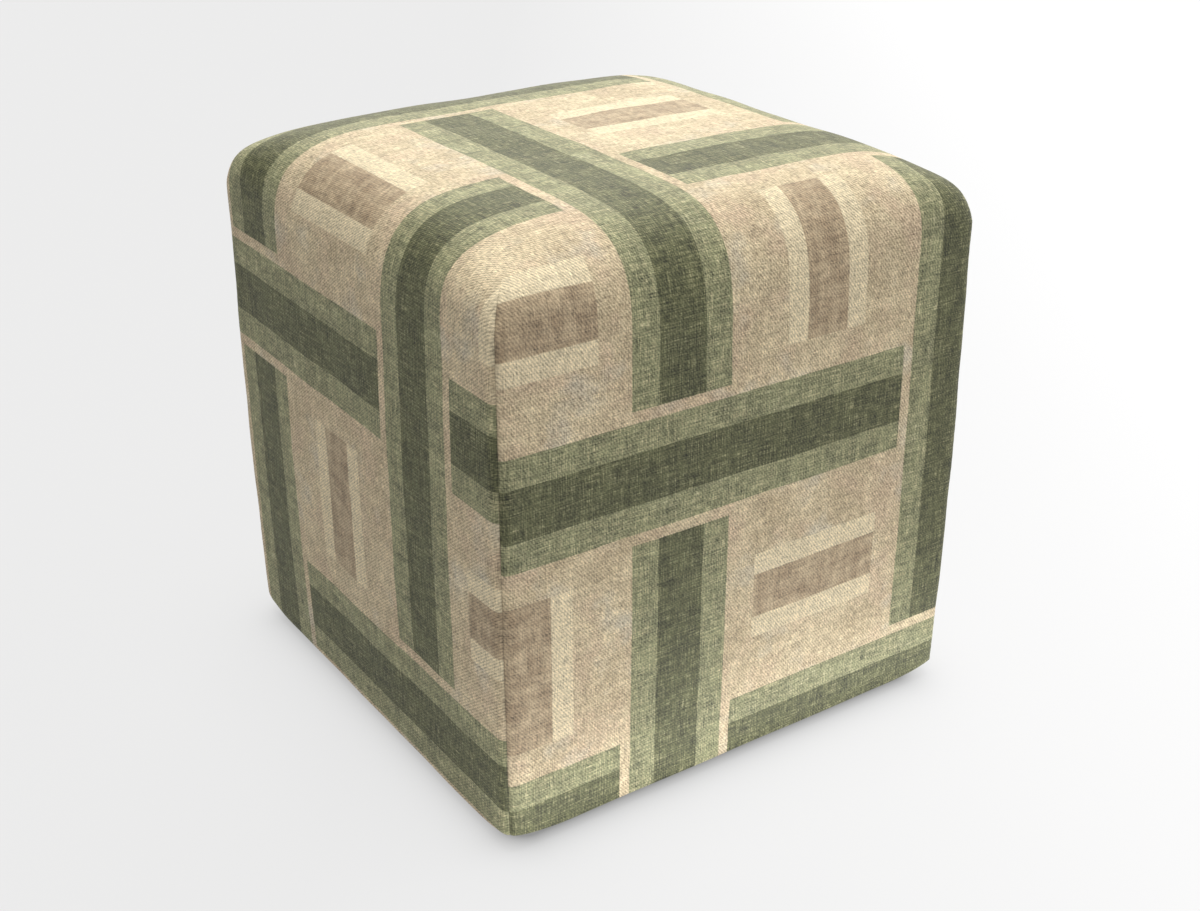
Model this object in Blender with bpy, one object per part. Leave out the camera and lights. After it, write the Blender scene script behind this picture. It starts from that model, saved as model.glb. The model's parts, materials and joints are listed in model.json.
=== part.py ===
"""Cube pouf stool: a firmly filled cube in one cross-cut cloth, closed by a base cloth.

Metres, +Z up. The pouf stands on z = 0, and the origin is under its middle.

The cover's top and four sides are one cross-shaped cut, so the cloth rolls over each top edge
with no seam there. Four corner seams run down the vertical edges and under the pouf. The top
is flat in the middle and falls to the sides in a broad roll, which is shallower at the
corners, where the seams hold the cloth up. The sides turn under at the floor, and the base
cloth lies in the opening that they leave.
"""

import bmesh
import bpy
import numpy as np

# The cube
WIDTH = 0.430  # between opposite sides, where they meet the floor's turn-under
HEIGHT = 0.460  # floor to the middle of the top
SEAM_BEND = 0.011  # radius in plan of the bend at each corner seam

# The roll from the top into the sides
ROLL_DEPTH = 0.094  # how far below the middle of the top a side's middle begins
ROLL_START = (8.15, 5.4)  # power that keeps the top flat: at a side's middle, at a corner
ROLL_TURN = (2.78, 3.45)  # power that rounds the roll into the side: the same two places
ROLL_BLEND = 2.7  # power by which a side's middle changes into its corners
CORNER_LIFT = (0.90, 2.57)  # share of the fall that the corners keep back, and its power
CORNER_DIP = (0.50, 10)  # share that the very tip of a corner gives up again, and its power

# The turn-under at the floor
TURN_HEIGHT = 0.012  # how far a side's lower edge is clear of the floor
TURN_WIDTH = 0.060  # how far in from the side the cover meets the floor
TURN_POWER = 2.11

# Filling and seams
WALL_SWELL = 0.0016  # how far the corner seams bow outwards half-way up
MIDDLE_SWELL = 0.0006  # how much more the middle of a side does
SEAM_SINK = 0.0015  # how deep a corner seam is drawn in
SEAM_HALF_WIDTH = 0.002  # reach of that groove to each side of the seam
SEAM_FADE = (0.82, 0.92)  # shares of the half-width between which a seam dies out on the top

# The base cloth
BASE_WIDTH = 0.296
BASE_CORNER = 0.012
BASE_THICKNESS = 0.0025
BASE_CORNER_EDGES = 5  # straight edges that make up each rounded corner
PIECE_GAP = 0.0003  # between the base cloth and the cover

# Colours, linear, and roughness
PRINTED_CLOTH = ((0.44, 0.37, 0.24), 0.9)
BASE_CLOTH = ((0.30, 0.26, 0.20), 0.95)

# The cover's mesh
CUTS = 26  # cuts across each face of the cage
EDGE_CROWDING = 0.85  # 0 spaces the rows evenly, 1 crowds them most towards the edges
SEAM_ROW = 0.015  # half-widths from the cage's edge to the row beside it
RAY_END = 2.0  # multiple of a ray's length to the cage that is outside the pouf for certain
HALVINGS = 40  # halvings that find where a ray leaves the surface

HALF = WIDTH / 2
MIDDLE_Z = HEIGHT / 2


def mix(ends, share):
    """The value `share` of the way from the first of two ends to the second."""
    return ends[0] + (ends[1] - ends[0]) * share


def roll_fall(across, along):
    """Fall of the top towards one side, in metres.

    `across` runs from 0 over the middle to 1 at the side, and `along` from 0 at the side's
    middle to 1 at its corner. The fall is a superellipse quarter whose two powers change
    along the side.
    """
    place = along**ROLL_BLEND
    start, turn = mix(ROLL_START, place), mix(ROLL_TURN, place)
    return ROLL_DEPTH * (1 - (1 - across**start) ** (1 / turn))


def top_height(a, b):
    """Height of the top at shares a and b of the half-width, the corners lifted."""
    corner = a * b
    kept = 1 - CORNER_LIFT[0] * corner ** CORNER_LIFT[1] + CORNER_DIP[0] * corner ** CORNER_DIP[1]
    return HEIGHT - (roll_fall(a, b) + roll_fall(b, a)) * kept


def turn_rise(across):
    """Rise of the underside towards one side: a superellipse quarter TURN_WIDTH wide."""
    inward = np.clip(1 - (1 - across) * HALF / TURN_WIDTH, 0, 1)
    return TURN_HEIGHT * (1 - (1 - inward**TURN_POWER) ** (1 / TURN_POWER))


def wall_share(points):
    """|x| and |y| as shares of the half-width at each point's own height, swell included."""
    plan = np.abs(points[:, :2]) / HALF
    up = np.clip((points[:, 2] - TURN_HEIGHT) / (HEIGHT - ROLL_DEPTH - TURN_HEIGHT), 0, 1)
    from_corner = 1 - np.min(plan, axis=1) ** 2
    swell = (WALL_SWELL + MIDDLE_SWELL * from_corner) * np.sin(np.pi * up) / HALF
    return plan / (1 + swell)[:, None]


def is_inside(points):
    """Whether each point is in the filled cube: in plan, under the top, over the underside."""
    share = wall_share(points)
    bend = SEAM_BEND / HALF
    past_bend = np.linalg.norm(np.clip(share - (1 - bend), 0, None), axis=1)
    a, b = np.clip(share, 0, 1).T
    below_top = points[:, 2] <= top_height(a, b)
    above_floor = points[:, 2] >= turn_rise(a) + turn_rise(b)
    return (past_bend <= bend) & below_top & above_floor


def on_surface(directions):
    """Where rays from the cube's middle leave it, found by halving the stretch they leave in."""
    centre = np.array([0, 0, MIDDLE_Z])
    near = np.zeros(len(directions))
    far = np.full(len(directions), RAY_END)
    for _ in range(HALVINGS):
        half_way = (near + far) / 2
        inside = is_inside(centre + directions * half_way[:, None])
        near = np.where(inside, half_way, near)
        far = np.where(inside, far, half_way)
    return centre + directions * near[:, None]


def draw_in_seams(points):
    """Points with the corner seams sunk towards the cube's middle.

    A seam is a smooth groove along |x| = |y|. It runs down the corner and under the pouf, and
    on the top it dies out a little way in from the corner.
    """
    centre = np.array([0, 0, MIDDLE_Z])
    x, y = np.abs(points[:, 0]), np.abs(points[:, 1])
    off_seam = (x - y) / np.sqrt(2)
    groove = np.exp(-((off_seam / SEAM_HALF_WIDTH) ** 2))
    outward = np.minimum(x, y) / HALF
    faded = np.clip((outward - SEAM_FADE[0]) / (SEAM_FADE[1] - SEAM_FADE[0]), 0, 1)
    faded = np.where(points[:, 2] < MIDDLE_Z, 1, faded**2 * (3 - 2 * faded))
    reach = np.linalg.norm(points - centre, axis=1)
    kept = 1 - SEAM_SINK * groove * faded / reach
    return centre + (points - centre) * kept[:, None]


def crowd_rows(place):
    """Moves evenly spaced rows, from -1 to 1, towards both edges by a sine."""
    return (1 - EDGE_CROWDING) * place + EDGE_CROWDING * np.sin(np.pi / 2 * place)


def cage_directions(cage):
    """Rays from the middle through the cage's vertices, its rows crowded towards its edges.

    The row next to each edge is brought up to it, so that a corner seam has a row of its own on
    each side.
    """
    places = np.array([v.co for v in cage.verts])
    row_step = 2 / (CUTS + 1)
    beside_edge = np.isclose(np.abs(places), 1 - row_step, atol=row_step / 100)
    crowded = np.where(beside_edge, np.sign(places) * (1 - SEAM_ROW), crowd_rows(places))
    return crowded * np.array([HALF, HALF, MIDDLE_Z])


def add_object(name, mesh, collection, material=None):
    thing = bpy.data.objects.new(name, mesh)
    collection.objects.link(thing)
    if material:
        mesh.materials.append(material)
    return thing


def cloth_material(name, colour, roughness):
    material = bpy.data.materials.new(name)
    material.use_nodes = True
    shader = material.node_tree.nodes["Principled BSDF"]
    shader.inputs["Base Color"].default_value = (*colour, 1)
    shader.inputs["Roughness"].default_value = roughness
    shader.inputs["Metallic"].default_value = 0
    material.diffuse_color = (*colour, 1)
    return material


def make_cover(collection):
    """The filled cube: a subdivided cube cage whose vertices are sent out to the surface."""
    cage = bmesh.new()
    bmesh.ops.create_cube(cage, size=2)
    bmesh.ops.subdivide_edges(cage, edges=cage.edges[:], cuts=CUTS, use_grid_fill=True)
    points = draw_in_seams(on_surface(cage_directions(cage)))
    for vertex, point in zip(cage.verts, points):
        vertex.co = point
    mesh = bpy.data.meshes.new("cover")
    cage.to_mesh(mesh)
    cage.free()
    mesh.shade_smooth()
    return add_object("cover", mesh, collection, cloth_material("printed_cloth", *PRINTED_CLOTH))


def make_slab(name, width, corner, bottom, top, collection, material=None):
    """A square slab with rounded corners in plan, centred on the z axis."""
    slab = bmesh.new()
    bmesh.ops.create_cube(slab, size=1)
    bmesh.ops.scale(slab, vec=(width, width, top - bottom), verts=slab.verts)
    bmesh.ops.translate(slab, vec=(0, 0, (top + bottom) / 2), verts=slab.verts)
    upright = [e for e in slab.edges if abs(e.verts[0].co.z - e.verts[1].co.z) > (top - bottom) / 2]
    bmesh.ops.bevel(
        slab, geom=upright, offset=corner, segments=BASE_CORNER_EDGES, profile=0.5, affect="EDGES"
    )
    mesh = bpy.data.meshes.new(name)
    slab.to_mesh(mesh)
    slab.free()
    return add_object(name, mesh, collection, material)


def make_base_panel(collection):
    """The base cloth, lying flat on the floor in the opening that the sides leave."""
    cloth = cloth_material("base_cloth", *BASE_CLOTH)
    return make_slab("base_panel", BASE_WIDTH, BASE_CORNER, 0, BASE_THICKNESS, collection, cloth)


def sink_base_opening(cover, cutters):
    """Cuts the base cloth's place out of the cover, PIECE_GAP larger all round."""
    cutter = make_slab(
        "base_opening_cutter",
        BASE_WIDTH + 2 * PIECE_GAP,
        BASE_CORNER + PIECE_GAP,
        -2 * BASE_THICKNESS,
        BASE_THICKNESS + PIECE_GAP,
        cutters,
    )
    cutter.hide_render = True
    cutter.display_type = "WIRE"
    cut = cover.modifiers.new("base_opening", "BOOLEAN")
    cut.operation = "DIFFERENCE"
    cut.object = cutter


def main():
    for thing in list(bpy.data.objects):
        bpy.data.objects.remove(thing)
    pouf = bpy.data.collections.new("cube_pouf_stool")
    cutters = bpy.data.collections.new("cutters")
    bpy.context.scene.collection.children.link(pouf)
    bpy.context.scene.collection.children.link(cutters)
    cover = make_cover(pouf)
    make_base_panel(pouf)
    sink_base_opening(cover, cutters)


main()
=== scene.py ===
"""Cube pouf stool: printed twill over a firm filling, closed underneath by a base cloth.

Metres, +Z up, standing on z = 0 with the origin under its middle.

The cover is one grid of rows and columns. Its rows are rings that run from the middle of the top
over the roll, down the sides and under the pouf. Its columns run down each of the four sides, and
the columns between two sides lie in the corner seams. A coarse copy of it is settled over its
filling by a cloth simulation, and the cover takes its swell from that copy.

The cloth of the top and the four sides is one cross-shaped cut, and the "cloth" UV map gives each
point's place on that cut, in metres, so the print and the weave run over the top's edges and
break at the corner seams.
"""

import json

import bpy
import numpy as np
from mathutils import Matrix, Vector

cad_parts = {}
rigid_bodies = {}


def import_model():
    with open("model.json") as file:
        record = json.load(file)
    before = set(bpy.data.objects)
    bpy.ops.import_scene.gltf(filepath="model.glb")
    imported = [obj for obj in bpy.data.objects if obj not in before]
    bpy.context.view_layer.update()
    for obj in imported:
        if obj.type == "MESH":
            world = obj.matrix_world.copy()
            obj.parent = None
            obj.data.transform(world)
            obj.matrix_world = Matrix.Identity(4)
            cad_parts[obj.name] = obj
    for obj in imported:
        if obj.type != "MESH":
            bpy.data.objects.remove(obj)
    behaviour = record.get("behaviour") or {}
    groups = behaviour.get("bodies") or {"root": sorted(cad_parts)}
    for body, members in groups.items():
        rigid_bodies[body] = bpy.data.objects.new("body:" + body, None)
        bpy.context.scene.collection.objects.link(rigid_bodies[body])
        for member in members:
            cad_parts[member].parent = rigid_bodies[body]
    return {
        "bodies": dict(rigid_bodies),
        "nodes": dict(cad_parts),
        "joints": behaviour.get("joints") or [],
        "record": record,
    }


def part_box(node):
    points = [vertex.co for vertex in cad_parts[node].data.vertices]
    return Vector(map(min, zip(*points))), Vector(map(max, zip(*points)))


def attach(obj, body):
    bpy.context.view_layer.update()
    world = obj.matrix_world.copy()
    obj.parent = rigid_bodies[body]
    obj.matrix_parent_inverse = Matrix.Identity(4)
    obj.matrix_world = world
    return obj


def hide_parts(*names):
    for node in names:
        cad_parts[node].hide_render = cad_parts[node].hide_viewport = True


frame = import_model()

SCENE = bpy.context.scene
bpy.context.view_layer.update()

# The cube, as it was cut and filled
HALF = 0.215  # from the middle to a side
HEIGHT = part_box("cover")[1].z
MIDDLE_Z = HEIGHT / 2
MIDDLE = np.array([0, 0, MIDDLE_Z])
SEAM_BEND = 0.011  # radius in plan of the bend at a corner seam
ROLL_DEPTH = 0.094  # how far below the top a side's flat wall begins
ROLL_START = (8.15, 5.4)  # power that keeps the top flat: at a side's middle, at a corner
ROLL_TURN = (2.78, 3.45)  # power that rounds the roll into the side: the same two places
ROLL_BLEND = 2.7
CORNER_LIFT = (0.90, 2.57)  # share of the fall that the corners keep back, and its power
CORNER_DIP = (0.50, 10)  # share that the tip of a corner gives up again, and its power
TURN_HEIGHT = 0.012  # how far a side's lower edge is clear of the floor
TURN_WIDTH = 0.060  # how far in from the side the cover meets the floor
TURN_POWER = 2.11
WALL_SWELL = 0.0016  # how far the corner seams bow outwards half-way up
MIDDLE_SWELL = 0.0006  # how much more the middle of a side does
FLAT_HALF = HALF - ROLL_DEPTH  # half-width of the flat part of the top
WALL_TOP = HEIGHT - ROLL_DEPTH

# The base cloth, in the opening that the sides leave
BASE_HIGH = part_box("base_panel")[1]
BASE_HALF = BASE_HIGH.x
BASE_CORNER = 0.012
BASE_THICKNESS = BASE_HIGH.z  # from the floor to the top of the hem
SHEET_THICKNESS = 0.0013  # of the cloth inside its hem
FLOOR_CLEARANCE = 0.0004
EDGE_ROUNDING = (0.45, 0.0012)  # share of the thickness that it takes off a face, and width
WAVE_HEIGHT = 0.00012  # unevenness of the sheet
WAVE_LENGTHS = (0.021, 0.026, 0.034)  # for each radian along x, along y and slanting
HEM_WIDTH = 0.011
HEM_BLEND = 0.0015  # to each side of the hem's inner edge, where the cloth steps down
HEM_RISE = 0.0006  # how much higher the cloth lies inside the hem
PIECE_GAP = 0.0003
OPENING_HALF = BASE_HALF + PIECE_GAP
OPENING_LIP = 0.0008  # rounding of the cover's edge round the opening

# The hem's stitches
STITCH_INSET = 0.0065
STITCH_PITCH = 0.0042
STITCH_LENGTH = 0.0030
STITCH_WIDTH = 0.0007
STITCH_HEIGHT = 0.00036  # of a stitch's middle above the floor
STITCH_FLATNESS = 0.55  # height over width
STITCH_TAPER = 0.92  # how far its ends are drawn in
STITCH_STEPS = 5  # rings along it
STITCH_CORNERS = 6  # round it

# Relief of the sewn and filled cloth
SEAM_DEPTH = 0.0009  # how deep the stitching draws a corner seam in
SEAM_REACH = 0.0010  # distance from the seam in which that fades to about a third
SEAM_SHADE_REACH = 0.0007  # the same for the painted shade in the seam
SEAM_FADE = (0.90, 0.98)  # shares of the half-width between which a seam dies out on the top
SEAM_AT_FLOOR = 0.5  # share of a seam's relief that is left at the floor
DART_DIP = 0.0004  # dimple where a seam ends on the top
DART_PLACE = 0.83  # share of the half-width at its middle
DART_LENGTH = 0.0177  # its reach along the seam
DART_WIDTH = 0.011  # its reach to each side
PUCKER_HEIGHT = 0.00013  # puckers along a seam, between the stitches
PUCKER_PITCH = 0.0115
PUCKER_REACH = (0.001, 0.010)  # distances from the seam over which they begin, and fade
PUCKER_STRENGTH = (0.6, 0.4)  # mean, and how far it swings along the seam
PUCKER_SWING = 0.031  # length along the seam for each radian of that swing
PUCKER_SIDE_STEP = 1.3  # radians by which the two sides of a seam are out of step
PUCKER_CORNER_STEPS = (2.1, 0.8)  # the same for the corners, by their signs of x and y
FLOOR_FADE = 0.020  # height over which the swell and the filling's unevenness begin

# Unevenness of the filling: pairs of sines, each with its turns along x, y and z in one
# LUMP_PITCH, and its phase in radians
LUMP_HEIGHT = 0.00045
LUMP_PITCH = 0.125
BROAD_LUMPS = (((1.0, 0.0, 0.6), 0.4), ((0.0, 0.9, -0.5), 1.7))
FINE_LUMPS = (((0.0, 1.7, 1.3), 2.2), ((1.9, 0.0, -1.1), 0.3))
FINE_LUMP_SHARE = 0.45

# Settling of the cover over its filling
SETTLE_STEP = 0.009  # between the rings of the coarse cover
SETTLE_CELLS = 48  # its cells across a side
SETTLE_PINNED = (0.022, 0.425)  # heights below which all is held, and up to which the seams are
SETTLE_FRAMES = 20
SETTLE_PRESSURE = 4.0
SETTLE_STIFFNESS = 20.0
SETTLE_SMOOTHINGS = 2  # times that the moves are evened out
SETTLE_MOST = 0.0010  # the largest swell, to which the rest is scaled

# Rows and columns of the cover's grid, and of the base cloth's
CLOTH_STEP = 0.0050  # the widest of the cover's steps
EDGE_STEP = 0.0014  # first step from the floor's edge, which grows by EDGE_GROWTH each
EDGE_GROWTH = 1.2
SEAM_STEP = 0.0004  # first step from a seam, which grows by SEAM_GROWTH each
SEAM_GROWTH = 1.45
LOW_ROWS = 0.030  # height below which the rows crowd towards the floor
UNDER_WIDTH = 0.066  # from a side in to the opening
TOP_CROWDING = (0.45, 0.75)  # shares of the half-width between which columns crowd to the seams
ROOF_CROWDING = (0.3, 0.9)  # the same over the base cloth
ROOF_RINGS = 9
LIP_TURNS = (30, 60, 90)  # degrees round the opening's lip at which there is a ring
RAY_END = 1.2  # share of the way to a ray's target that is outside the pouf
HALVINGS = 34  # of the stretch in which a ray leaves the pouf
BASE_CELLS = 96  # across a side of the base cloth
BASE_STEPS = (0.0006, 1.3, 0.0040)  # first step in from its edge, growth and widest
BASE_REACH = 0.96  # share of its half-width that the steps cover

# The flat cut and its print
ROLL_SAMPLES = 3000
TURN_INSET = 0.004  # how far in from a side the cloth counts as lying underneath
TOP_BLEND = 0.022  # width over which two sides' cloth lengths are evened out on the top
TOP_BLEND_END = (0.85, 0.93)
TOP_BLEND_LOW = (0.040, 0.022)  # how far below the middle of the top the evening out fades
PRINT_PITCH = 0.262
PRINT_SHIFT = (0.064, 0.104)

SIDES = ((0, -1), (1, 0), (0, 1), (-1, 0))  # outward direction of each side


def mix(ends, share):
    """The value `share` of the way from the first of two ends to the second."""
    return ends[0] + (ends[1] - ends[0]) * share


def smooth_step(low, high, value):
    """0 up to `low`, 1 from `high` on, and the cubic 3t^2 - 2t^3 in between."""
    t = np.clip((value - low) / (high - low), 0, 1)
    return t * t * (3 - 2 * t)


# ---- the form of the filled cube


def roll_fall(across, along):
    """Fall of the top towards one side: ROLL_DEPTH (1 - (1 - across^start)^(1/turn)).

    `across` is 0 over the middle and 1 at the side, `along` 0 at its middle and 1 at its corner.
    """
    place = along**ROLL_BLEND
    start, turn = mix(ROLL_START, place), mix(ROLL_TURN, place)
    return ROLL_DEPTH * (1 - (1 - across**start) ** (1 / turn))


def top_height(a, b):
    """Height of the top at shares a and b of the half-width: the two falls, less at the corners."""
    corner = a * b
    kept = 1 - CORNER_LIFT[0] * corner ** CORNER_LIFT[1] + CORNER_DIP[0] * corner ** CORNER_DIP[1]
    return HEIGHT - (roll_fall(a, b) + roll_fall(b, a)) * kept


def turn_rise(across):
    """Rise of the underside towards one side: a superellipse quarter TURN_WIDTH wide."""
    inward = np.clip(1 - (1 - across) * HALF / TURN_WIDTH, 0, 1)
    return TURN_HEIGHT * (1 - (1 - inward**TURN_POWER) ** (1 / TURN_POWER))


def wall_share(points):
    """|x| and |y| as shares of the half-width at each point's own height.

    That half-width swells by half a sine from the floor's turn up to the roll, and by a little
    more towards the middle of a side, as 1 minus the square of the smaller share.
    """
    plan = np.abs(points[..., :2]) / HALF
    up = np.clip((points[..., 2] - TURN_HEIGHT) / (WALL_TOP - TURN_HEIGHT), 0, 1)
    from_corner = 1 - np.min(plan, axis=-1) ** 2
    swell = (WALL_SWELL + MIDDLE_SWELL * from_corner) * np.sin(np.pi * up) / HALF
    return plan / (1 + swell)[..., None]


def is_inside(points):
    """Whether each point is in the filled cube: in plan, under the top and over the underside.

    In plan the cube is a square whose corners are rounded to SEAM_BEND.
    """
    share = wall_share(points)
    bend = SEAM_BEND / HALF
    past_bend = np.linalg.norm(np.clip(share - (1 - bend), 0, None), axis=-1)
    a, b = np.moveaxis(np.clip(share, 0, 1), -1, 0)
    below_top = points[..., 2] <= top_height(a, b)
    above_floor = points[..., 2] >= turn_rise(a) + turn_rise(b)
    return (past_bend <= bend) & below_top & above_floor


def on_surface(targets):
    """Where rays from the cube's middle through the targets leave it, found by halving."""
    rays = targets - MIDDLE
    near = np.zeros(rays.shape[:-1])
    far = np.full(rays.shape[:-1], RAY_END)
    for _ in range(HALVINGS):
        half_way = (near + far) / 2
        inside = is_inside(MIDDLE + rays * half_way[..., None])
        near = np.where(inside, half_way, near)
        far = np.where(inside, far, half_way)
    return MIDDLE + rays * near[..., None]


# ---- rows and columns


def growing_steps(span, first, growth, widest):
    """Distances from 0 to span whose steps grow from `first` by `growth` each, up to `widest`."""
    growing = int(np.ceil(np.log(widest / first) / np.log(growth)))
    start = np.cumsum(first * growth ** np.arange(growing))
    rest = np.linspace(start[-1], span, int(np.ceil((span - start[-1]) / widest)) + 1)
    return np.concatenate([[0.0], start, rest[1:]])


def side_columns():
    """Places across a side, from -1 to 1: crowded to both seams, and the same number evenly."""
    half = 1 - growing_steps(HALF, SEAM_STEP, SEAM_GROWTH, CLOTH_STEP)[:-1] / HALF
    crowded = np.concatenate([-half, [0.0], half[::-1]])
    return crowded, np.linspace(-1, 1, len(crowded))


def round_square(across, half, corner):
    """How far the ray (1, across) goes from the middle to a square with round corners.

    It is half where the side is straight. In a corner it is the outer root of |s (1, t) - c| = r,
    with the arc's centre c at half - r both ways.
    """
    t = np.abs(across)
    centre = half - corner
    reach = (1 + t) * centre
    root = np.sqrt(np.clip(reach**2 - (1 + t * t) * (2 * centre**2 - corner**2), 0, None))
    return np.where(t * half <= centre, half, (reach + root) / (1 + t * t))


def ring(outward, across, height):
    """Points of one ring: the side (outward, across outward) turned to each of the four sides.

    The last column of a side is the first of the next, so it is left out.
    """
    outward = np.broadcast_to(outward, across.shape)[:-1]
    lateral = (outward * across[:-1])[:, None]
    turned = [outward[:, None] * np.array(n) + lateral * np.array((-n[1], n[0])) for n in SIDES]
    plan = np.concatenate(turned)
    return np.column_stack([plan, np.broadcast_to(height, len(plan))])


def opening_outline(across, inset):
    """The opening for the base cloth, wider by `inset` all round, as far as the ray goes."""
    return round_square(across, OPENING_HALF + inset, BASE_CORNER + PIECE_GAP + inset)


def cage_rings():
    """Rings of targets on a box round the cube: over the top, down the walls and underneath."""
    crowded, even = side_columns()
    rings = []
    for outward in np.arange(CLOTH_STEP, HALF, CLOTH_STEP):
        columns = mix((even, crowded), smooth_step(*TOP_CROWDING, outward / HALF))
        rings.append(ring(outward, columns, HEIGHT))
    walls = np.arange(HEIGHT, LOW_ROWS + CLOTH_STEP / 2, -CLOTH_STEP)
    low = growing_steps(LOW_ROWS, EDGE_STEP, EDGE_GROWTH, CLOTH_STEP)[::-1]
    for height in np.concatenate([walls, low]):
        rings.append(ring(HALF, crowded, height))
    opening = opening_outline(crowded, OPENING_LIP)
    inward = growing_steps(UNDER_WIDTH, EDGE_STEP, EDGE_GROWTH, CLOTH_STEP)[1:]
    for share in inward / UNDER_WIDTH:
        rings.append(ring(mix((HALF, opening), share), crowded, 0.0))
    return np.array(rings)


def opening_rings():
    """Rings round the opening's lip, a quarter circle, up its wall and in over its roof."""
    crowded, even = side_columns()
    roof = BASE_THICKNESS + PIECE_GAP
    rings = []
    for turn in np.radians(LIP_TURNS):
        outline = opening_outline(crowded, OPENING_LIP * (1 - np.sin(turn)))
        rings.append(ring(outline, crowded, OPENING_LIP * (1 - np.cos(turn))))
    rings.append(ring(opening_outline(crowded, 0.0), crowded, roof))
    for share in np.arange(ROOF_RINGS, 0, -1) / (ROOF_RINGS + 1):
        columns = mix((even, crowded), smooth_step(*ROOF_CROWDING, share))
        rings.append(ring(share * opening_outline(columns, 0.0), columns, roof))
    return np.array(rings)


# ---- relief


def seam_distance(points):
    """Distance from the diagonal planes |x| = |y|, in which the corner seams lie."""
    return np.abs(np.abs(points[..., 0]) - np.abs(points[..., 1])) / np.sqrt(2)


def corner_share(points):
    """The smaller of |x| and |y|, as a share of the half-width: 1 at the corners."""
    return np.min(np.abs(points[..., :2]), axis=-1) / HALF


def seam_presence(points):
    """1 along the corner seams, fading to 0 where they die out on the top."""
    on_top = smooth_step(*SEAM_FADE, corner_share(points))
    return np.where(points[..., 2] < MIDDLE_Z, 1.0, on_top)


def seam_relief(points):
    """Relief at the corner seams: a cusp, the dimple at each seam's end, and small puckers.

    The cusp falls off exponentially on both sides, and the dimple is a Gaussian both ways. The
    puckers are a sine along the seam whose strength changes slowly, and whose two sides are out
    of step, as the cloth on either side was eased onto the other.
    """
    off, outward = seam_distance(points), corner_share(points) * HALF
    cusp = -SEAM_DEPTH * np.exp(-off / SEAM_REACH)
    off_dart = ((outward - DART_PLACE * HALF) / DART_LENGTH) ** 2 + (off / DART_WIDTH) ** 2
    dimple = -DART_DIP * np.exp(-off_dart) * (points[..., 2] > MIDDLE_Z)
    side = np.abs(points[..., 0]) > np.abs(points[..., 1])
    corner = np.sign(points[..., :2]) @ np.array(PUCKER_CORNER_STEPS)
    along = points[..., 2] - outward
    wave = np.sin(2 * np.pi * along / PUCKER_PITCH + side * PUCKER_SIDE_STEP + corner)
    strength = PUCKER_STRENGTH[0] + PUCKER_STRENGTH[1] * np.sin(along / PUCKER_SWING + corner)
    beside = (1 - np.exp(-off / PUCKER_REACH[0])) * np.exp(-off / PUCKER_REACH[1])
    pucker = PUCKER_HEIGHT * wave * strength * beside
    return (cusp + pucker) * seam_presence(points) + dimple


def filling_relief(points):
    """Unevenness of the filling: the product of two slanting sines, and a finer such product."""
    turned = points * (2 * np.pi / LUMP_PITCH)

    def lumps(waves):
        return np.prod([np.sin(turned @ np.array(slant) + phase) for slant, phase in waves], axis=0)

    return LUMP_HEIGHT * (lumps(BROAD_LUMPS) + FINE_LUMP_SHARE * lumps(FINE_LUMPS))


def with_relief(points, swell):
    """Points moved along the line from the cube's middle by the swell, seams and filling.

    The filling lies flat on the floor, so there the swell and its unevenness begin at nothing.
    """
    rays = points - MIDDLE
    free = smooth_step(0.0, FLOOR_FADE, points[..., 2])
    height = (swell + filling_relief(points)) * free
    height = height + seam_relief(points) * mix((SEAM_AT_FLOOR, 1.0), free)
    moved = points + rays * (height / np.linalg.norm(rays, axis=-1))[..., None]
    moved[..., 2] = np.maximum(moved[..., 2], 0)
    return moved


# ---- settling the cover


def run_cloth(piece, pins):
    """Places of a piece's vertices after its cloth has swelled under pressure between the pins."""
    group = piece.vertex_groups.new(name="pins")
    group.add(np.flatnonzero(pins).tolist(), 1.0, "REPLACE")
    modifier = piece.modifiers.new("settle", "CLOTH")
    cloth = modifier.settings
    cloth.vertex_group_mass = group.name
    cloth.tension_stiffness = cloth.compression_stiffness = SETTLE_STIFFNESS
    cloth.use_pressure, cloth.uniform_pressure_force = True, SETTLE_PRESSURE
    cloth.effector_weights.gravity = 0
    modifier.collision_settings.use_collision = False
    modifier.point_cache.frame_start, modifier.point_cache.frame_end = 1, SETTLE_FRAMES
    for frame in range(1, SETTLE_FRAMES + 1):
        SCENE.frame_set(frame)
    settled = piece.evaluated_get(bpy.context.evaluated_depsgraph_get()).data
    places = np.empty(3 * len(settled.vertices), np.float32)
    settled.vertices.foreach_get("co", places)
    SCENE.frame_set(1)
    return places.reshape(-1, 3)


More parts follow.
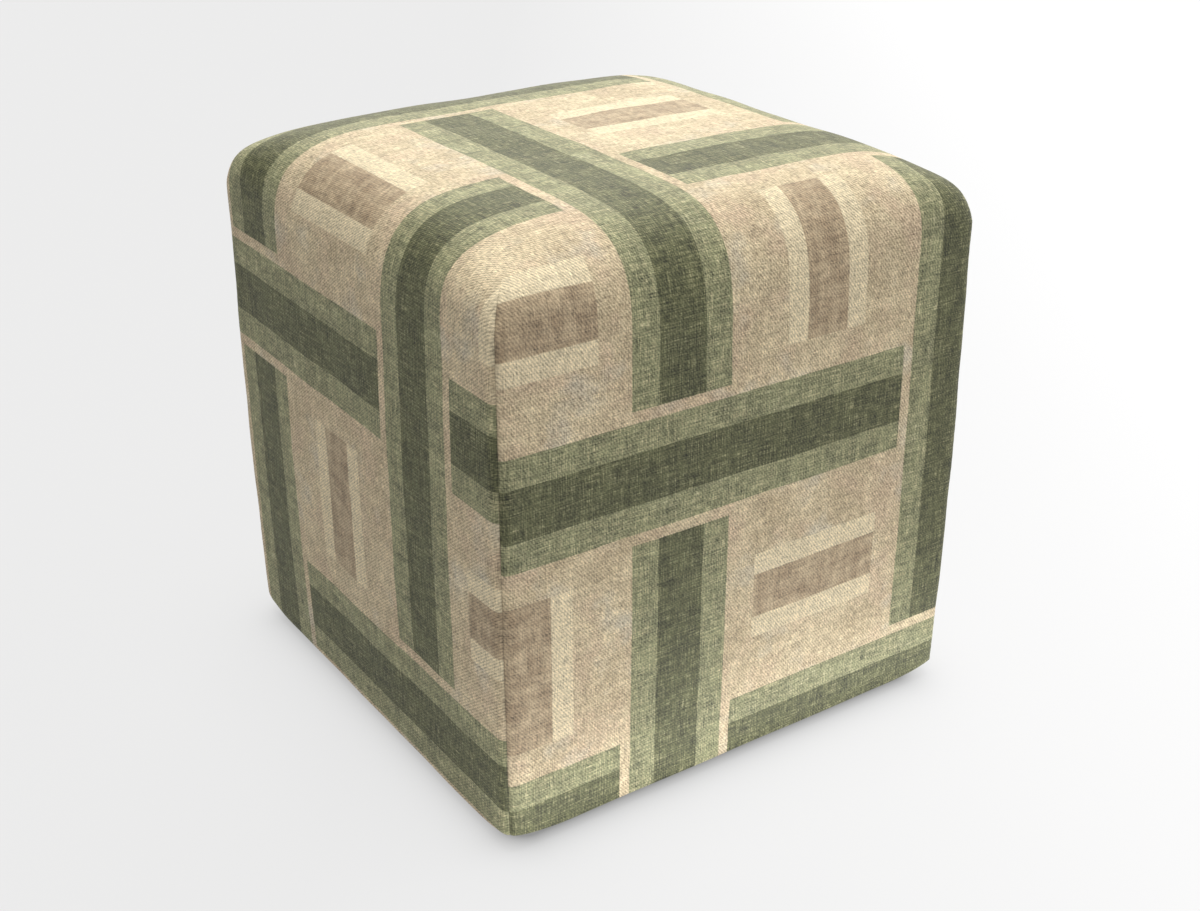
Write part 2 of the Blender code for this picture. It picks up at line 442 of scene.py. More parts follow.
def settled_swell():
    """How far the filling pushes the cover out, at each ring and column of a coarse cover.

    The coarse cover is settled by a cloth simulation, with its seams and lower edge pinned. Each
    move is measured along the line from the cube's middle, evened out over the neighbouring
    rings and columns, and scaled so that the largest is SETTLE_MOST. With the swell comes each
    ring's path, its distance from the middle of the top over the box round the cube.
    """
    places = np.linspace(-1, 1, SETTLE_CELLS + 1)
    outwards = np.arange(SETTLE_STEP, HALF, SETTLE_STEP)
    heights = np.arange(HEIGHT, 0, -SETTLE_STEP)
    paths = np.concatenate([[0.0], outwards, HALF + HEIGHT - heights])
    targets = [ring(outward, places, HEIGHT) for outward in outwards]
    targets += [ring(HALF, places, height) for height in heights]
    rings = on_surface(np.array(targets))
    count, columns = rings.shape[:2]
    points = np.concatenate([[[0, 0, HEIGHT]], rings.reshape(-1, 3)])
    piece = add_piece("settling_cover", points, ring_faces(count, columns)[:2])
    at_seam = np.tile(np.arange(columns) % SETTLE_CELLS == 0, count)
    pins = np.append(False, at_seam) & (points[:, 2] < SETTLE_PINNED[1])
    moves = run_cloth(piece, pins | (points[:, 2] < SETTLE_PINNED[0])) - points
    bpy.data.meshes.remove(piece.data)  # which removes the piece too
    rays = points - MIDDLE
    along = (moves * rays).sum(1) / np.linalg.norm(rays, axis=1)
    swell = np.concatenate([np.full((1, columns), along[0]), along[1:].reshape(count, columns)])
    for _ in range(SETTLE_SMOOTHINGS):
        swell = (np.roll(swell, 1, 1) + 2 * swell + np.roll(swell, -1, 1)) / 4
        swell[1:-1] = (swell[:-2] + 2 * swell[1:-1] + swell[2:]) / 4
    return paths, swell * SETTLE_MOST / np.abs(swell).max()


def swell_of_rings(targets, paths, swell):
    """The settled swell at rings of targets, read off between the coarse rings and columns.

    Both are mixed evenly, by the rings' paths and by how far round the columns are.
    """
    coarse_round = np.arange(swell.shape[1]) / SETTLE_CELLS
    per_side = targets.shape[1] // len(SIDES)
    result = []
    for of_ring in targets:
        outward = np.abs(of_ring[:, :2]).max()
        path = min(outward + HEIGHT - of_ring[0, 2], paths[-1])
        across = (1 + of_ring[:per_side, 0] / outward) / 2
        fine_round = (np.arange(len(SIDES))[:, None] + across).ravel()
        after = min(np.searchsorted(paths, path, side="right"), len(paths) - 1)
        share = (path - paths[after - 1]) / (paths[after] - paths[after - 1])
        row = mix((swell[after - 1], swell[after]), share)
        result.append(np.interp(fine_round, coarse_round, row, period=len(SIDES)))
    return np.array(result)


# ---- the flat cut


def roll_lengths():
    """Cloth length over a side's roll against the angle at which its axis sees the point."""
    outward = np.linspace(FLAT_HALF, HALF, ROLL_SAMPLES)
    height = HEIGHT - roll_fall(outward / HALF, 0)
    outward, height = np.append(outward, HALF), np.append(height, WALL_TOP)
    angle = np.arctan2(outward - FLAT_HALF, height - WALL_TOP)
    length = np.concatenate([[0.0], np.cumsum(np.hypot(np.diff(outward), np.diff(height)))])
    return angle, length


ROLL_ANGLES, ROLL_LENGTHS = roll_lengths()


def cloth_length(outward, height):
    """Cloth from the middle of the top to a point, over the roll, down the wall and under."""
    angle = np.arctan2(np.maximum(outward - FLAT_HALF, 0), np.maximum(height - WALL_TOP, 0))
    over_roll = FLAT_HALF + np.interp(angle, ROLL_ANGLES, ROLL_LENGTHS)
    down_wall = FLAT_HALF + ROLL_LENGTHS[-1] + WALL_TOP - height
    length = np.where(outward < FLAT_HALF, outward, over_roll)
    length = np.where(height < WALL_TOP, down_wall, length)
    under = np.maximum(HALF - TURN_INSET - outward, 0)
    return length + np.where(height < MIDDLE_Z, under, 0)


def flat_place(points, side):
    """Place on the cross-shaped cut of points on one side: across it, and its cloth length.

    On the top two sides meet without a seam, so near the diagonal half of each one's stretch
    is given to the other, and the two agree there.
    """
    outward_way = np.array(SIDES[side])
    across_way = np.array((-outward_way[1], outward_way[0]))
    outward, across = points[..., :2] @ outward_way, points[..., :2] @ across_way
    height = points[..., 2]
    stretch = cloth_length(outward, height) - outward
    side_stretch = cloth_length(np.abs(across), height) - np.abs(across)
    joined = 1 - smooth_step(*TOP_BLEND_END, np.abs(across) / HALF)
    shared = 0.5 * joined * (1 - smooth_step(0, TOP_BLEND, outward - np.abs(across)))
    shared = shared * smooth_step(HEIGHT - TOP_BLEND_LOW[0], HEIGHT - TOP_BLEND_LOW[1], height)
    across = across + np.sign(across) * side_stretch * shared
    length = outward + stretch * (1 - shared)
    return across[..., None] * across_way + length[..., None] * outward_way


# ---- meshes


def add_piece(name, points, faces):
    """A mesh object of that name at the origin. Faces are arrays of corner numbers."""
    mesh = bpy.data.meshes.new(name)
    corners = [corner for part in faces for corner in part.tolist()]
    mesh.from_pydata(points.tolist(), [], corners, shade_flat=False)
    mesh.validate()
    piece = bpy.data.objects.new(name, mesh)
    SCENE.collection.objects.link(piece)
    return piece


def ring_faces(rings, columns):
    """Faces of a closed skin of rings between two poles, the first at 0 and the last at the end.

    Going down the rows and along the columns turns the faces outwards.
    """
    here = 1 + np.arange(columns)
    after = 1 + (np.arange(columns) + 1) % columns
    first = np.column_stack([np.zeros(columns, int), here, after])
    rows = columns * np.arange(rings - 1)[:, None]
    quads = np.stack([rows + here, rows + columns + here, rows + columns + after, rows + after], -1)
    last_row = columns * (rings - 1)
    pole = columns * rings + 1
    last = np.column_stack([last_row + here, np.full(columns, pole), last_row + after])
    return first, quads.reshape(-1, 4), last


def cover_places(rings, columns):
    """Flat places of every face corner, worked out for the side that the face is on."""
    per_side = columns // len(SIDES)
    top_places, ring_places, last_places = [], [], []
    for side in range(len(SIDES)):
        of_side = (side * per_side + np.arange(per_side + 1)) % columns
        place = flat_place(rings[:, of_side], side)
        left, right = place[:, :-1], place[:, 1:]
        middle = np.zeros_like(left[0])
        top_places.append(np.stack([middle, left[0], right[0]], 1))
        ring_places.append(np.stack([left[:-1], left[1:], right[1:], right[:-1]], 2))
        last_places.append(np.stack([left[-1], (left[-1] + right[-1]) / 2, right[-1]], 1))
    return np.concatenate([
        np.concatenate(top_places).reshape(-1, 2),
        np.concatenate(ring_places, axis=1).reshape(-1, 2),
        np.concatenate(last_places).reshape(-1, 2),
    ])


def make_cover():
    """The filled cover: its rings sent out to the cube's surface and given their relief."""
    targets = cage_rings()
    paths, swell = settled_swell()
    outer = with_relief(on_surface(targets), swell_of_rings(targets, paths, swell))
    rings = np.concatenate([outer, opening_rings()])
    count, columns = rings.shape[:2]
    top = with_relief(np.array([[0, 0, HEIGHT]]), swell[0, :1])
    roof = [[0, 0, rings[-1, 0, 2]]]
    points = np.concatenate([top, rings.reshape(-1, 3), roof])
    cover = add_piece("cover_cloth", points, ring_faces(count, columns))
    flat_cut = cover.data.uv_layers.new(name="cloth")
    flat_cut.data.foreach_set("uv", cover_places(rings, columns).astype(np.float32).ravel())
    # painted shade along the corner seams, which darkens the cover's colour in and beside each
    # seam's groove
    shade = np.exp(-seam_distance(points) / SEAM_SHADE_REACH) * seam_presence(points)
    seam_shade = cover.data.attributes.new("seam_shade", "FLOAT", "POINT")
    seam_shade.data.foreach_set("value", shade.astype(np.float32))
    return cover


def inside_hem(inset):
    """0 over the hem and 1 inside it, at distances in from the base cloth's edge."""
    return smooth_step(HEM_WIDTH - HEM_BLEND, HEM_WIDTH + HEM_BLEND, inset)


def base_height(inset, place):
    """Underside of the base cloth: low at its hem, a little higher and uneven inside it.

    The unevenness is a product of sines along x and y, and a smaller slanting sine.
    """
    x, y = place[..., 0], place[..., 1]
    along_x, along_y, slanting = WAVE_LENGTHS
    wave = np.sin(x / along_x + 0.8) * np.sin(y / along_y + 0.3) + 0.6 * np.sin((x - y) / slanting)
    return FLOOR_CLEARANCE + inside_hem(inset) * (HEM_RISE + WAVE_HEIGHT * wave)


def make_base_cloth():
    """A square sheet with a folded hem: rings out over its upper face, round its edge, and in.

    Its thickness steps down from the hem's to the sheet's, and both faces close on each other
    over the rounding at its edge.
    """
    across = np.linspace(-1, 1, BASE_CELLS + 1)
    upper, lower = [], []
    for inset in growing_steps(BASE_HALF * BASE_REACH, *BASE_STEPS):
        outline = round_square(across, BASE_HALF - inset, max(BASE_CORNER - inset, 0.0))
        flat = ring(outline, across, 0.0)
        low = base_height(inset, flat)
        thickness = mix((BASE_THICKNESS - FLOOR_CLEARANCE, SHEET_THICKNESS), inside_hem(inset))
        edge = EDGE_ROUNDING[0] * thickness * (1 - smooth_step(0, EDGE_ROUNDING[1], inset))
        lower.append(np.column_stack([flat[:, :2], low + edge]))
        upper.append(np.column_stack([flat[:, :2], low + thickness - edge]))
    rings = np.array(upper[::-1] + lower)
    low = base_height(BASE_HALF, np.zeros(2))
    upper_pole, lower_pole = [[0, 0, low + SHEET_THICKNESS]], [[0, 0, low]]
    points = np.concatenate([upper_pole, rings.reshape(-1, 3), lower_pole])
    return add_piece("base_cloth", points, ring_faces(*rings.shape[:2]))


def stitch_bar():
    """Rings of one stitch, a flattened bar along x whose girth is sqrt(1 - STITCH_TAPER t^2)."""
    place = np.linspace(-1, 1, STITCH_STEPS)[:, None]
    turn = np.arange(STITCH_CORNERS) * 2 * np.pi / STITCH_CORNERS
    girth = np.sqrt(1 - STITCH_TAPER * place**2) * STITCH_WIDTH / 2
    along = np.broadcast_to(place * STITCH_LENGTH / 2, (STITCH_STEPS, STITCH_CORNERS))
    upward = STITCH_HEIGHT + STITCH_FLATNESS * girth * np.sin(turn)
    return np.stack([along, girth * np.cos(turn), upward], -1).reshape(-1, 3)


def make_base_stitches():
    """The stitches that hold the hem: a row of bars along each side, turned to the four sides."""
    off_middle = BASE_HALF - STITCH_INSET
    count = int(2 * off_middle / STITCH_PITCH)
    along = (np.arange(count) + 0.5 - count / 2) * STITCH_PITCH
    starts = np.column_stack([along, np.full(count, -off_middle), np.zeros(count)])
    row = (stitch_bar() + starts[:, None]).reshape(-1, 3)
    points = []
    for x, y in SIDES:
        turned = row.copy()
        turned[:, :2] = row[:, :2] @ np.array([[-y, x], [-x, -y]])
        points.append(turned)

    here = np.arange(STITCH_CORNERS)
    after = (here + 1) % STITCH_CORNERS
    rows = STITCH_CORNERS * np.arange(STITCH_STEPS - 1)[:, None]
    next_rows = rows + STITCH_CORNERS
    quads = np.stack([rows + here, rows + after, next_rows + after, next_rows + here], -1)
    ends = np.array([here[::-1], here + STITCH_CORNERS * (STITCH_STEPS - 1)])
    firsts = STITCH_STEPS * STITCH_CORNERS * np.arange(count * len(SIDES))[:, None, None]
    faces = [(quads.reshape(-1, 4) + firsts).reshape(-1, 4)]
    faces.append((ends + firsts).reshape(-1, STITCH_CORNERS))
    return add_piece("base_stitches", np.concatenate(points), faces)


# ---- node building


class Wire:
    """A value in a node tree. Arithmetic on wires adds the Math nodes that work it out."""

    def __init__(self, tree, socket):
        self.tree, self.socket = tree, socket

    def math(self, operation, *others):
        node = self.tree.nodes.new("ShaderNodeMath")
        node.operation = operation
        for slot, value in zip(node.inputs, (self, *others)):
            join(value, slot)
        return Wire(self.tree, node.outputs[0])

    def __add__(self, other):
        return self.math("ADD", other)

    def __sub__(self, other):
        return self.math("SUBTRACT", other)

    def __mul__(self, other):
        return self.math("MULTIPLY", other)

    def __truediv__(self, other):
        return self.math("DIVIDE", other)

    def size(self):
        return self.math("ABSOLUTE")

    def flipped(self):
        """1 - value."""
        return (self * -1) + 1

    def ramp(self, low, high, ends=(0, 1), kind="LINEAR"):
        """The first end where the value is low and the second where it is high."""
        node = self.tree.nodes.new("ShaderNodeMapRange")
        node.interpolation_type = kind
        for slot, value in zip(node.inputs, (self, low, high, *ends)):
            join(value, slot)
        return Wire(self.tree, node.outputs[0])

    def within(self, limit, softness):
        """1 where the value is under the limit, 0 where it is over, softened between."""
        return (self - limit).ramp(softness * -0.5, softness * 0.5, (1, 0), "SMOOTHSTEP")


def join(value, socket):
    """Feeds a wire or a plain number or colour into a socket."""
    if isinstance(value, Wire):
        value.tree.links.new(value.socket, socket)
    else:
        socket.default_value = value


def start_group(name, inputs, outputs):
    """A shader node group with a Place and named numbers, and its inputs as wires."""
    tree = bpy.data.node_groups.new(name, "ShaderNodeTree")
    tree.interface.new_socket("Place", in_out="INPUT", socket_type="NodeSocketVector")
    for given, value in inputs.items():
        socket = tree.interface.new_socket(given, in_out="INPUT", socket_type="NodeSocketFloat")
        socket.default_value = value
    for result in outputs:
        tree.interface.new_socket(result, in_out="OUTPUT", socket_type="NodeSocketFloat")
    source = tree.nodes.new("NodeGroupInput")
    return tree, {s.name: Wire(tree, s) for s in source.outputs if s.name}


def end_group(tree, **results):
    """Feeds wires into the group's outputs of those names."""
    sink = tree.nodes.new("NodeGroupOutput")
    for name, wire in results.items():
        join(wire, sink.inputs[name])


def use_group(group, place, **values):
    """A group's outputs as wires, where it is given a place and its own values."""
    node = place.tree.nodes.new("ShaderNodeGroup")
    node.node_tree = group
    for name, value in {"Place": place, **values}.items():
        join(value, node.inputs[name])
    return {s.name: Wire(place.tree, s) for s in node.outputs}


def vector(x, y):
    """The place (x, y, 0)."""
    node = x.tree.nodes.new("ShaderNodeCombineXYZ")
    join(x, node.inputs[0])
    join(y, node.inputs[1])
    return Wire(x.tree, node.outputs[0])


def parts_of(place):
    """The first two coordinates of a place."""
    node = place.tree.nodes.new("ShaderNodeSeparateXYZ")
    join(place, node.inputs[0])
    return [Wire(place.tree, part) for part in node.outputs[:2]]


def noise(place, scale, detail, roughness):
    """Even noise about 0.5 whose blotches are about 1 / scale across."""
    node = place.tree.nodes.new("ShaderNodeTexNoise")
    join(place, node.inputs["Vector"])
    for name, value in (("Scale", scale), ("Detail", detail), ("Roughness", roughness)):
        node.inputs[name].default_value = value
    return Wire(place.tree, node.outputs["Fac"])


def blotches(place, scale, low, high):
    """Soft-edged blotches about 1 / scale across: 0 where their noise is low, 1 where high."""
    return noise(place, scale, 3.0, 0.6).ramp(low, high)


def mix_colour(share, first, second):
    """The colour `share` of the way from the first to the second, and on past it over 1."""
    node = share.tree.nodes.new("ShaderNodeMix")
    node.data_type, node.clamp_factor = "RGBA", False
    join(share, node.inputs["Factor"])
    join(first, node.inputs[6])
    join(second, node.inputs[7])
    return Wire(share.tree, node.outputs[2])


def scale_colour(colour, factor):
    """The colour times a number."""
    return mix_colour(factor, (0, 0, 0, 1), colour)


# ---- effects shared by the cloths

TWILL_DIRECTION = (0.80, 0.60)  # across the twill's ribs, on the flat cut
STREAK_SIZE = (0.0016, 0.0048)  # width and length of the stretches in which a rib stands out
YARN_SIZES = {"Dash": (0.8, 4.5), "Slub": (0.95, 18.0), "Patch": (8.0, 32.0)}  # in yarn widths
YARN_SPREAD = 0.24  # how far from its mean the noise is fully dark or light


def make_weave_group():
    """Twill: diagonal ribs, each a row of short floats, broken and uneven.

    Rib = the cosine of the distance along TWILL_DIRECTION over the rib pitch, its line shifted by
    noise and its strength changing over the cloth; the cover's colour takes it as painted shade in
    the valleys between the ribs. Floats = the cosine of u over the yarn pitch, which cuts each rib
    into its yarns. Streak = short stretches in which a rib is paler or darker.
    """
    tree, given = start_group(
        "twill_weave",
        {"Rib Pitch": 0.0021, "Yarn": 0.00070, "Unevenness": 0.85},
        ["Height", "Rib", "Streak"])
    place = given["Place"]
    u, v = parts_of(place)
    wander = (noise(place, 380.0, 3.0, 0.7) - 0.5) * given["Unevenness"]
    turn = 2 * np.pi
    across_ribs = u * TWILL_DIRECTION[0] + v * TWILL_DIRECTION[1]
    along_ribs = v * TWILL_DIRECTION[0] - u * TWILL_DIRECTION[1]
    rib_phase = (across_ribs / given["Rib Pitch"] + wander) * turn
    strength = blotches(place, 260.0, 0.30, 0.62)
    rib = rib_phase.math("COSINE") * (strength * 0.38 + 0.12) + 0.5
    yarn_phase = (u / given["Yarn"] + wander * 1.5) * turn
    yarn = yarn_phase.math("COSINE") * 0.5 + 0.5
    stretches = vector(across_ribs / STREAK_SIZE[0], along_ribs / STREAK_SIZE[1])
    streak = noise(stretches, 1.0, 1.0, 0.5).ramp(0.3, 0.7)
    end_group(tree, Height=rib * (yarn * 0.35 + 0.65), Rib=rib, Streak=streak)
    return tree


def crossed_noise(place, width, length):
    """Noise drawn out along both threads: the sum of one along v and one along u, 0 to 1."""
    u, v = parts_of(place)
    one = noise(vector(u / width, v / length), 1.0, 2.0, 0.6)
    other = noise(vector(v / width, u / length), 1.0, 2.0, 0.6)
    return (one + other - 1.0).ramp(-YARN_SPREAD, YARN_SPREAD)


def make_yarn_group():
    """Thick and thin yarns at three scales, each 0 where dark and 1 where light.

    Dash is one yarn between two crossings, Slub a thick place along a yarn, and Patch a stretch
    of several yarns that took the dye unevenly.
    """
    tree, given = start_group("uneven_yarns", {"Yarn": 0.0012}, YARN_SIZES)
    place, yarn = given["Place"], given["Yarn"]
    end_group(tree, **{
        name: crossed_noise(place, yarn * width, yarn * length)
        for name, (width, length) in YARN_SIZES.items()
    })
    return tree


def make_print_group():
    """The print: an interlaced lattice of edged bands, with a striped bar in each pane.

    Bands lie PRINT_PITCH apart both ways. At each crossing one of the two passes over, in turn
    like a chequerboard, and the other stops a little short of it. Each pane's bar stands or lies
    in the same turn, and has a pale stripe along each side. Outputs are masks of the bands, their
    cores, the bars and the bars with their pale stripes.
    """
    tree, given = start_group(
        "lattice_print",
        {"Pitch": PRINT_PITCH, "Band": 0.086, "Core": 0.040, "Slit": 0.009, "Bar Width": 0.038,
         "Bar Length": 0.122, "Stripe": 0.018, "Softness": 0.0007},
        ["Band", "Core", "Bar", "Striped"])
    u, v = parts_of(given["Place"])
    pitch, soft = given["Pitch"], given["Softness"]
    u, v = u / pitch, v / pitch
    column, row = u.math("ROUND"), v.math("ROUND")
    from_column = ((u - column) * pitch).size()
    from_row = ((v - row) * pitch).size()
    row_over = (column + row).math("PINGPONG", 1.0)
    half_band, half_core = given["Band"] * 0.5, given["Core"] * 0.5
    clear = half_band + given["Slit"]
    under_row = row_over * from_row.within(clear, soft)
    under_column = row_over.flipped() * from_column.within(clear, soft)
    upright = from_column.within(half_band, soft) * under_row.flipped()
    lying = from_row.within(half_band, soft) * under_column.flipped()
    upright_core = upright * from_column.within(half_core, soft)
    lying_core = lying * from_row.within(half_core, soft)
    pane_u = ((u.math("FRACT") - 0.5) * pitch).size()
    pane_v = ((v.math("FRACT") - 0.5) * pitch).size()
    stands = (u.math("FLOOR") + v.math("FLOOR")).math("PINGPONG", 1.0)
    long_side, short_side = given["Bar Length"] * 0.5, given["Bar Width"] * 0.5
    bar_soft = soft * 2.0

    def bar_mask(side):
        """Bars that reach `side` to each side of their middle line, in every pane."""
        standing = pane_u.within(side, bar_soft) * pane_v.within(long_side, bar_soft)
        laid = pane_u.within(long_side, bar_soft) * pane_v.within(side, bar_soft)
        return stands * standing + stands.flipped() * laid

    end_group(
        tree,
        Band=upright.math("MAXIMUM", lying),
        Core=upright_core.math("MAXIMUM", lying_core),
        Bar=bar_mask(short_side),
        Striped=bar_mask(short_side + given["Stripe"]))
    return tree


# ---- materials

# Colours of the print, linear
CREAM = (0.680, 0.580, 0.390, 1)
LIGHT_SAND = (0.570, 0.470, 0.305, 1)
SAND = (0.470, 0.375, 0.235, 1)
PINK_BEIGE = (0.525, 0.395, 0.270, 1)
GREY_BEIGE = (0.520, 0.470, 0.365, 1)
BROWN_FLECK = (0.330, 0.245, 0.150, 1)
TAN = (0.340, 0.250, 0.155, 1)
SAGE = (0.224, 0.230, 0.120, 1)
OLIVE = (0.087, 0.091, 0.038, 1)
BASE_COLOUR = (0.30, 0.26, 0.20, 1)
THREAD_COLOUR = (0.20, 0.17, 0.13, 1)

BASE_YARN = 0.0007  # width of the base cloth's yarns
THREAD_TWIST = 0.0006  # pitch of the thread's twist
RAGGED_NOISE = (600.0, 2.0, 0.6)  # scale, detail and roughness of how the print's lines waver
RAGGED_WIDTH = 0.0011  # and how far they do

# How much each unevenness shades the cover: on bare ground, and how much more where printed
SHADING = {
    "Dash": (0.46, 0.34),
    "Slub": (0.36, 0.40),
    "Patch": (0.16, 0.30),
    # painted shade in the valleys between the twill's ribs
    "Rib": (0.56, -0.04),
    "Streak": (0.28, -0.16),
}


def new_material(name, **values):
    """A Principled material, its tree and its shader, with plain values on named sockets."""
    material = bpy.data.materials.new(name)
    material.use_nodes = True
    tree = material.node_tree
    shader = tree.nodes["Principled BSDF"]
    for socket, value in values.items():
        shader.inputs[socket.replace("_", " ")].default_value = value
    return material, tree, shader


def object_place(tree):
    """The place on the piece, in metres from the origin."""
    node = tree.nodes.new("ShaderNodeTexCoord")
    return Wire(tree, node.outputs["Object"])


def bump(shader, height, distance):
    """Tilts the shader's normal by a height, of which 1 is `distance` in metres."""
    node = height.tree.nodes.new("ShaderNodeBump")
    join(height, node.inputs["Height"])
    node.inputs["Distance"].default_value = distance
    node.inputs["Strength"].default_value = 0.8
    height.tree.links.new(node.outputs[0], shader.inputs["Normal"])


def printed_cloth(weave, yarns, lattice):
    """The cover's printed twill: mottled ground, print, uneven yarns, weave, and painted shade at
    ribs and seams.
    """
    material, tree, shader = new_material(
        "printed_twill", Roughness=0.75, Sheen_Weight=0.12, Sheen_Roughness=0.35,
        Sheen_Tint=(0.98, 1.0, 0.78, 1))
    flat_cut = tree.nodes.new("ShaderNodeUVMap")
    flat_cut.uv_map = "cloth"
    place = Wire(tree, flat_cut.outputs[0])
    u, v = parts_of(place)
    # the print's lines waver with the yarns that they lie on
    ragged_u = (noise(place, *RAGGED_NOISE) - 0.5) * RAGGED_WIDTH
    ragged_v = (noise(vector(v + 3.1, u), *RAGGED_NOISE) - 0.5) * RAGGED_WIDTH
    print_place = vector(u + ragged_u + PRINT_SHIFT[0], v + ragged_v + PRINT_SHIFT[1])
    printed = use_group(lattice, print_place)
    yarn = use_group(yarns, place)
    twill = use_group(weave, place)

    # the ground drifts between its tints, and single yarns are paler or browner than the rest
    ground = mix_colour(blotches(place, 14.0, 0.38, 0.62), SAND, LIGHT_SAND)
    ground = mix_colour(yarn["Patch"].ramp(0.45, 1.0) * 0.45, ground, CREAM)
    pink = blotches(vector(u + 7.3, v), 24.0, 0.48, 0.66)
    ground = mix_colour(pink * 0.7, ground, PINK_BEIGE)
    grey = blotches(vector(u, v + 5.9), 22.0, 0.54, 0.70)
    ground = mix_colour(grey * 0.75, ground, GREY_BEIGE)
    ground = mix_colour(yarn["Dash"].ramp(0.5, 1.0) * 0.33, ground, CREAM)
    ground = mix_colour(yarn["Dash"].ramp(0.5, 0.0) * 0.35, ground, BROWN_FLECK)

    # the print is worn off the raised yarns, and takes unevenly from patch to patch
    bare = yarn["Slub"].ramp(0.52, 1.0) * 0.30 + yarn["Dash"].ramp(0.55, 1.0) * 0.18
    kept = bare.flipped()
    washed = yarn["Patch"] * -0.3 + 1.0
    colour = mix_colour(printed["Striped"] * washed, ground, CREAM)
    colour = mix_colour(printed["Bar"] * washed, colour, TAN)
    colour = mix_colour(printed["Band"] * kept, colour, SAGE)
    colour = mix_colour(printed["Core"] * kept, colour, OLIVE)

    # yarns and streaks vary its tone and the ribs add painted shade between them, each by other
    # amounts where it is printed
    inked = printed["Bar"] * 0.25 + printed["Band"] * 0.75 + printed["Core"] * 0.25
    uneven = {**yarn, **twill}
    shading = 1.0
    for name, (on_ground, by_print) in SHADING.items():
        shading = (uneven[name] - 0.5) * (inked * by_print + on_ground) + shading
    colour = scale_colour(colour, shading)

    # painted shade in the corner seams: the colour is darkened by up to 0.4 where seam_shade is 1
    seam = tree.nodes.new("ShaderNodeAttribute")
    seam.attribute_name = "seam_shade"
    colour = scale_colour(colour, Wire(tree, seam.outputs["Fac"]) * -0.4 + 1.0)
    join(colour, shader.inputs["Base Color"])
    bump(shader, twill["Height"] + yarn["Dash"] * 0.7 + yarn["Slub"] * 0.4, 0.00022)
    return material


def plain_cloth(yarns):
    """The base cloth: unprinted and dull brown, its yarns crossing over and under in turn."""
    material, tree, shader = new_material("base_weave", Roughness=0.95, Sheen_Weight=0.05)
    place = object_place(tree)
    u, v = parts_of(place)
    turn = np.pi / BASE_YARN
    over = (u * turn).math("SINE") * (v * turn).math("SINE") * 0.5 + 0.5
    yarn = use_group(yarns, place, Yarn=BASE_YARN)
    uneven = (yarn["Dash"] - 0.5) * 0.3 + (yarn["Slub"] - 0.5) * 0.25 + (yarn["Patch"] - 0.5) * 0.2
    colour = scale_colour(BASE_COLOUR, uneven + (over - 0.5) * 0.35 + 1.0)
    join(colour, shader.inputs["Base Color"])
    bump(shader, over + yarn["Dash"] * 0.5, 0.0002)
    return material


def thread_material():
    """Base stitches: matt thread with a twist along the stitch."""
    material, tree, shader = new_material("base_thread", Roughness=0.8)
    u, v = parts_of(object_place(tree))
    twist = ((u + v) * (2 * np.pi / THREAD_TWIST)).math("SINE") * 0.5 + 0.5
    colour = scale_colour(THREAD_COLOUR, twist * 0.35 + 0.8)
    join(colour, shader.inputs["Base Color"])
    return material


# ---- stage

# The camera, as fitted to the photograph: metres, degrees and millimetres
CAMERA_PLACE = (-0.7086, -1.0631, 0.8073)
CAMERA_YAW = 34.156  # from +Y towards +X
CAMERA_PITCH = -26.065
CAMERA_ROLL = -0.128
CAMERA_LENS = 50.294
CAMERA_SENSOR = 36

# The floor
FLOOR_SIZE = 240.0  # its edge is lost near the horizon
FLOOR_COLOUR = (0.060, 0.060, 0.061, 1)  # under the lights
FLOOR_GLOW = 0.745  # its own light, on the left
GLOW_RISE = 0.20  # how much brighter that is on the right
GLOW_SPAN = (-0.2, 0.9)  # metres to the right of the middle between which it rises
FOOTPRINT_HALF = 0.200
FOOTPRINT_CORNER = 0.018
FOOTPRINT_SHIFT = (-0.002, -0.004)  # towards the camera
CONTACT_SHADE = 0.64  # depth of the painted shade at the footprint
CONTACT_REACH = 0.012  # distance from it in which that fades to about a third

SURROUND_COLOUR = (1, 0.97, 0.92, 1)
SURROUND_STRENGTH = 0.22


def make_camera():
    """The photograph's view: rolled about its own line, tipped down, and turned by the yaw."""
    turn = Matrix.Identity(4)
    for degrees, axis in ((-CAMERA_YAW, "Z"), (90 + CAMERA_PITCH, "X"), (CAMERA_ROLL, "Z")):
        turn = turn @ Matrix.Rotation(np.radians(degrees), 4, axis)
    data = bpy.data.cameras.new("camera")
    data.lens, data.sensor_width, data.sensor_fit = CAMERA_LENS, CAMERA_SENSOR, "HORIZONTAL"
    camera = bpy.data.objects.new("camera", data)
    camera.matrix_world = Matrix.Translation(CAMERA_PLACE) @ turn
    SCENE.collection.objects.link(camera)
    SCENE.camera = camera


def add_light(name, data, towards, place=(0, 0, 0)):
    """A light at a place that shines from the direction `towards`, and isn't seen itself."""
    light = bpy.data.objects.new(name, data)
    light.visible_camera = False
    turn = Vector(towards).to_track_quat("Z", "Y").to_matrix().to_4x4()
    light.matrix_world = Matrix.Translation(place) @ turn
    SCENE.collection.objects.link(light)


def add_sky_light(name, towards, width, strength, colour=(1, 1, 1), shadow=False):
    """A far round light that is `width` degrees across."""
    data = bpy.data.lights.new(name, "SUN")
    data.angle, data.energy, data.color = np.radians(width), strength, colour
    data.use_shadow = shadow
    add_light(name, data, towards)


def add_softbox(name, place, aim, width, height, power):
    """A rectangular area light at a place, turned to face another."""
    data = bpy.data.lights.new(name, "AREA")
    data.shape, data.size, data.size_y, data.energy = "RECTANGLE", width, height, power
    add_light(name, data, Vector(place) - Vector(aim), place)


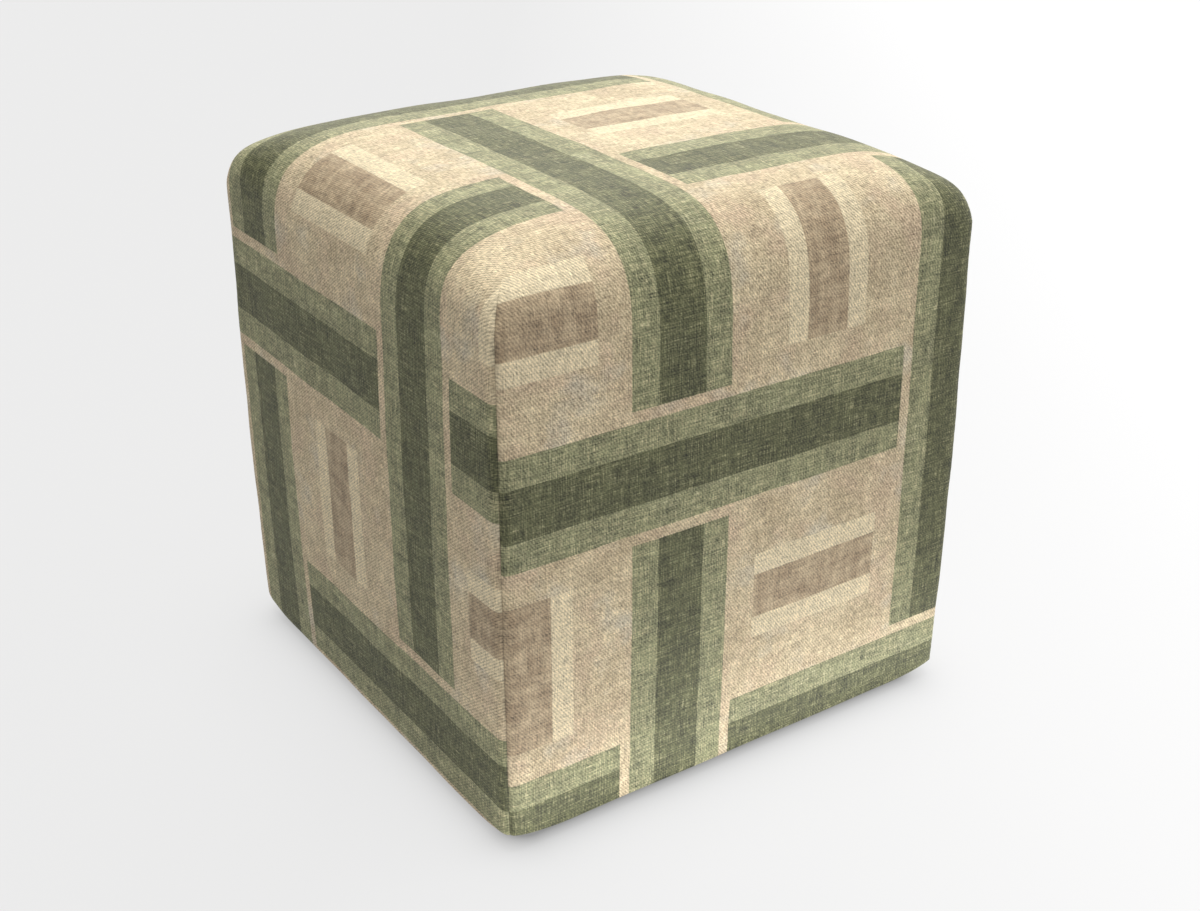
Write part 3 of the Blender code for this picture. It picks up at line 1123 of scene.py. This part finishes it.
def floor_material():
    """The pale floor, lit mostly from within: its glow, a painted pool of light, brightens to the
    right, and a painted shade lies round the pouf.

    The shade falls off exponentially with the distance outside the pouf's footprint, which is a
    square with round corners.
    """
    material, tree, shader = new_material(
        "lit_floor", Base_Color=FLOOR_COLOUR, Roughness=1.0, Specular_IOR_Level=0.0,
        Emission_Strength=1.0)
    x, y = parts_of(object_place(tree))
    centre = FOOTPRINT_HALF - FOOTPRINT_CORNER
    past_x = ((x - FOOTPRINT_SHIFT[0]).size() - centre).math("MAXIMUM", 0.0)
    past_y = ((y - FOOTPRINT_SHIFT[1]).size() - centre).math("MAXIMUM", 0.0)
    from_centre = (past_x * past_x + past_y * past_y).math("SQRT")
    distance = (from_centre - FOOTPRINT_CORNER).math("MAXIMUM", 0.0)
    # painted shade that stands in for the pouf's contact shadow
    shade = (distance / -CONTACT_REACH).math("EXPONENT") * CONTACT_SHADE
    yaw = np.radians(CAMERA_YAW)
    rightward = x * np.cos(yaw) - y * np.sin(yaw)
    # painted light: the floor's glow rises towards the right
    glow = rightward.ramp(*GLOW_SPAN) * GLOW_RISE + FLOOR_GLOW
    join(glow * shade.flipped(), shader.inputs["Emission Color"])
    return material


def make_stage():
    """The floor, the pale surround and the soft lights."""
    points = np.array([(-1, -1, 0), (1, -1, 0), (1, 1, 0), (-1, 1, 0)]) * FLOOR_SIZE / 2
    floor = add_piece("floor", points, [np.array([[0, 1, 2, 3]])])
    floor.data.materials.append(floor_material())
    world = bpy.data.worlds.new("surround")
    world.use_nodes = True
    background = world.node_tree.nodes["Background"]
    background.inputs["Color"].default_value = SURROUND_COLOUR
    background.inputs["Strength"].default_value = SURROUND_STRENGTH
    SCENE.world = world
    add_sky_light("light_above", (0.06, 0.0, 1.0), 30, 3.0, shadow=True)
    add_sky_light("light_behind", (0.50, 0.74, 0.46), 50, 2.3, (1, 0.97, 0.90))
    add_sky_light("light_right", (0.80, -0.42, 0.5), 40, 0.5)
    add_softbox("softbox_right", (1.7, -0.5, 0.9), (0, 0, 0.1), 1.0, 1.0, 6)
    add_softbox("softbox_low", (-0.02, -0.275, 0.003), (-0.02, -0.275, 1.0), 0.6, 0.1, 0.5)


# ---- the whole pouf


def main():
    make_camera()
    cover = make_cover()
    base_cloth = make_base_cloth()
    stitches = make_base_stitches()
    weave, yarns, lattice = make_weave_group(), make_yarn_group(), make_print_group()
    cover.data.materials.append(printed_cloth(weave, yarns, lattice))
    base_cloth.data.materials.append(plain_cloth(yarns))
    stitches.data.materials.append(thread_material())
    for piece in (cover, base_cloth, stitches):
        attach(piece, "root")
    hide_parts("cover")
    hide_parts("base_panel")
    make_stage()
    SCENE.view_settings.view_transform = "Standard"


main()
